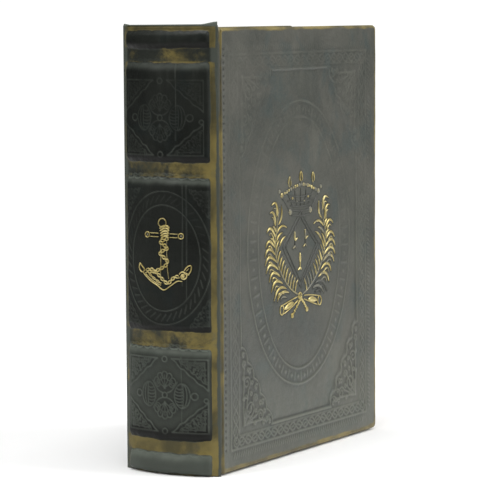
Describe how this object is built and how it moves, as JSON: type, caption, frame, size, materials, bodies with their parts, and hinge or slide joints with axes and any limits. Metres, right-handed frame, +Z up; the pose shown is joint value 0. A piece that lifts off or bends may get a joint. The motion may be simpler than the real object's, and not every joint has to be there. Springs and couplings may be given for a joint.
{
  "type": "book-shaped cryptex case",
  "caption": "Leather-bound book-shaped case: the front cover opens on a padded tray that holds a cylindrical cryptex with turning number dials and a draw tube.",
  "frame": {"origin": "middle of the object's base, on the surface it stands on", "axes": "+Z up along the spine, -Y out of the front cover, -X out of the spine"},
  "size_m": [0.2036, 0.065, 0.262],
  "materials": {
    "cover_leather": "antiqued grey-green bookbinding leather, rubbed ochre along its edges",
    "spine_leather": "near-black antiqued leather with ochre bands",
    "greyboard": "grey binder's board",
    "timber": "sanded light wood",
    "pages": "ribbed aged paper edge",
    "velvet": "short-pile burgundy velvet",
    "magnet": "nickel plate",
    "brass": "aged brass",
    "dark_brass": "darkened brass",
    "gilding": "worn gold foil"
  },
  "bodies": {
    "case": {"back_cover_leather": "cover_leather", "back_cover_board": "greyboard", "joint_leather_case_side": "cover_leather", "fore_edge_wall": "timber", "spine_side_wall": "timber", "head_wall": "timber", "tail_wall": "timber", "case_magnet_lower": "magnet", "case_magnet_upper": "magnet", "fore_edge_pages": "pages", "head_pages": "pages", "tail_pages": "pages", "floor_lining": "velvet", "spine_side_lining": "velvet", "fore_side_lining": "velvet", "head_lining": "velvet", "tail_lining": "velvet", "spine_core": "timber", "spine_head_cap": "spine_leather", "spine_tail_cap": "spine_leather", "spine_leather": "spine_leather", "spine_panel_tail": "spine_leather", "spine_panel_lower": "spine_leather", "spine_panel_centre": "spine_leather", "spine_panel_upper": "spine_leather", "spine_panel_head": "spine_leather", "spine_side_pad": "velvet", "fore_side_pad": "velvet", "tail_pad": "velvet", "head_pad": "velvet", "floor_pad": "velvet", "cryptex_base_cap": "brass", "cryptex_sleeve": "dark_brass", "cryptex_collar": "brass", "cryptex_washer_1": "dark_brass", "cryptex_washer_2": "dark_brass", "cryptex_washer_3": "dark_brass", "cryptex_washer_4": "dark_brass"},
    "front_cover": {"front_cover_leather": "cover_leather", "front_cover_board": "greyboard", "front_cover_lining": "velvet", "cover_strike_plate_lower": "magnet", "cover_strike_plate_upper": "magnet", "joint_leather_cover_side": "cover_leather"},
    "dial_1": {"cryptex_dial_1": "brass"},
    "dial_2": {"cryptex_dial_2": "brass"},
    "dial_3": {"cryptex_dial_3": "brass"},
    "dial_4": {"cryptex_dial_4": "brass"},
    "dial_5": {"cryptex_dial_5": "brass"},
    "draw_tube": {"cryptex_draw_tube": "dark_brass", "cryptex_pull_cap": "brass"}
  },
  "joints": [
    {"name": "cover_hinge", "type": "hinge", "parent": "case", "child": "front_cover", "pos_m": [-0.09025, -0.0325, 0.1305], "axis": [0, 0, -1], "range_deg": [0, 170]},
    {"name": "dial_1_turn", "type": "hinge", "parent": "case", "child": "dial_1", "pos_m": [0.0026, 0.00202, 0.064], "axis": [0, 0, 1], "continuous": true},
    {"name": "dial_2_turn", "type": "hinge", "parent": "case", "child": "dial_2", "pos_m": [0.0026, 0.00202, 0.0768], "axis": [0, 0, 1], "continuous": true},
    {"name": "dial_3_turn", "type": "hinge", "parent": "case", "child": "dial_3", "pos_m": [0.0026, 0.00202, 0.0896], "axis": [0, 0, 1], "continuous": true},
    {"name": "dial_4_turn", "type": "hinge", "parent": "case", "child": "dial_4", "pos_m": [0.0026, 0.00202, 0.1024], "axis": [0, 0, 1], "continuous": true},
    {"name": "dial_5_turn", "type": "hinge", "parent": "case", "child": "dial_5", "pos_m": [0.0026, 0.00202, 0.1152], "axis": [0, 0, 1], "continuous": true},
    {"name": "tube_draw", "type": "slide", "parent": "case", "child": "draw_tube", "axis": [0, 0, 1], "range_m": [0, 0.072]}
  ]
}
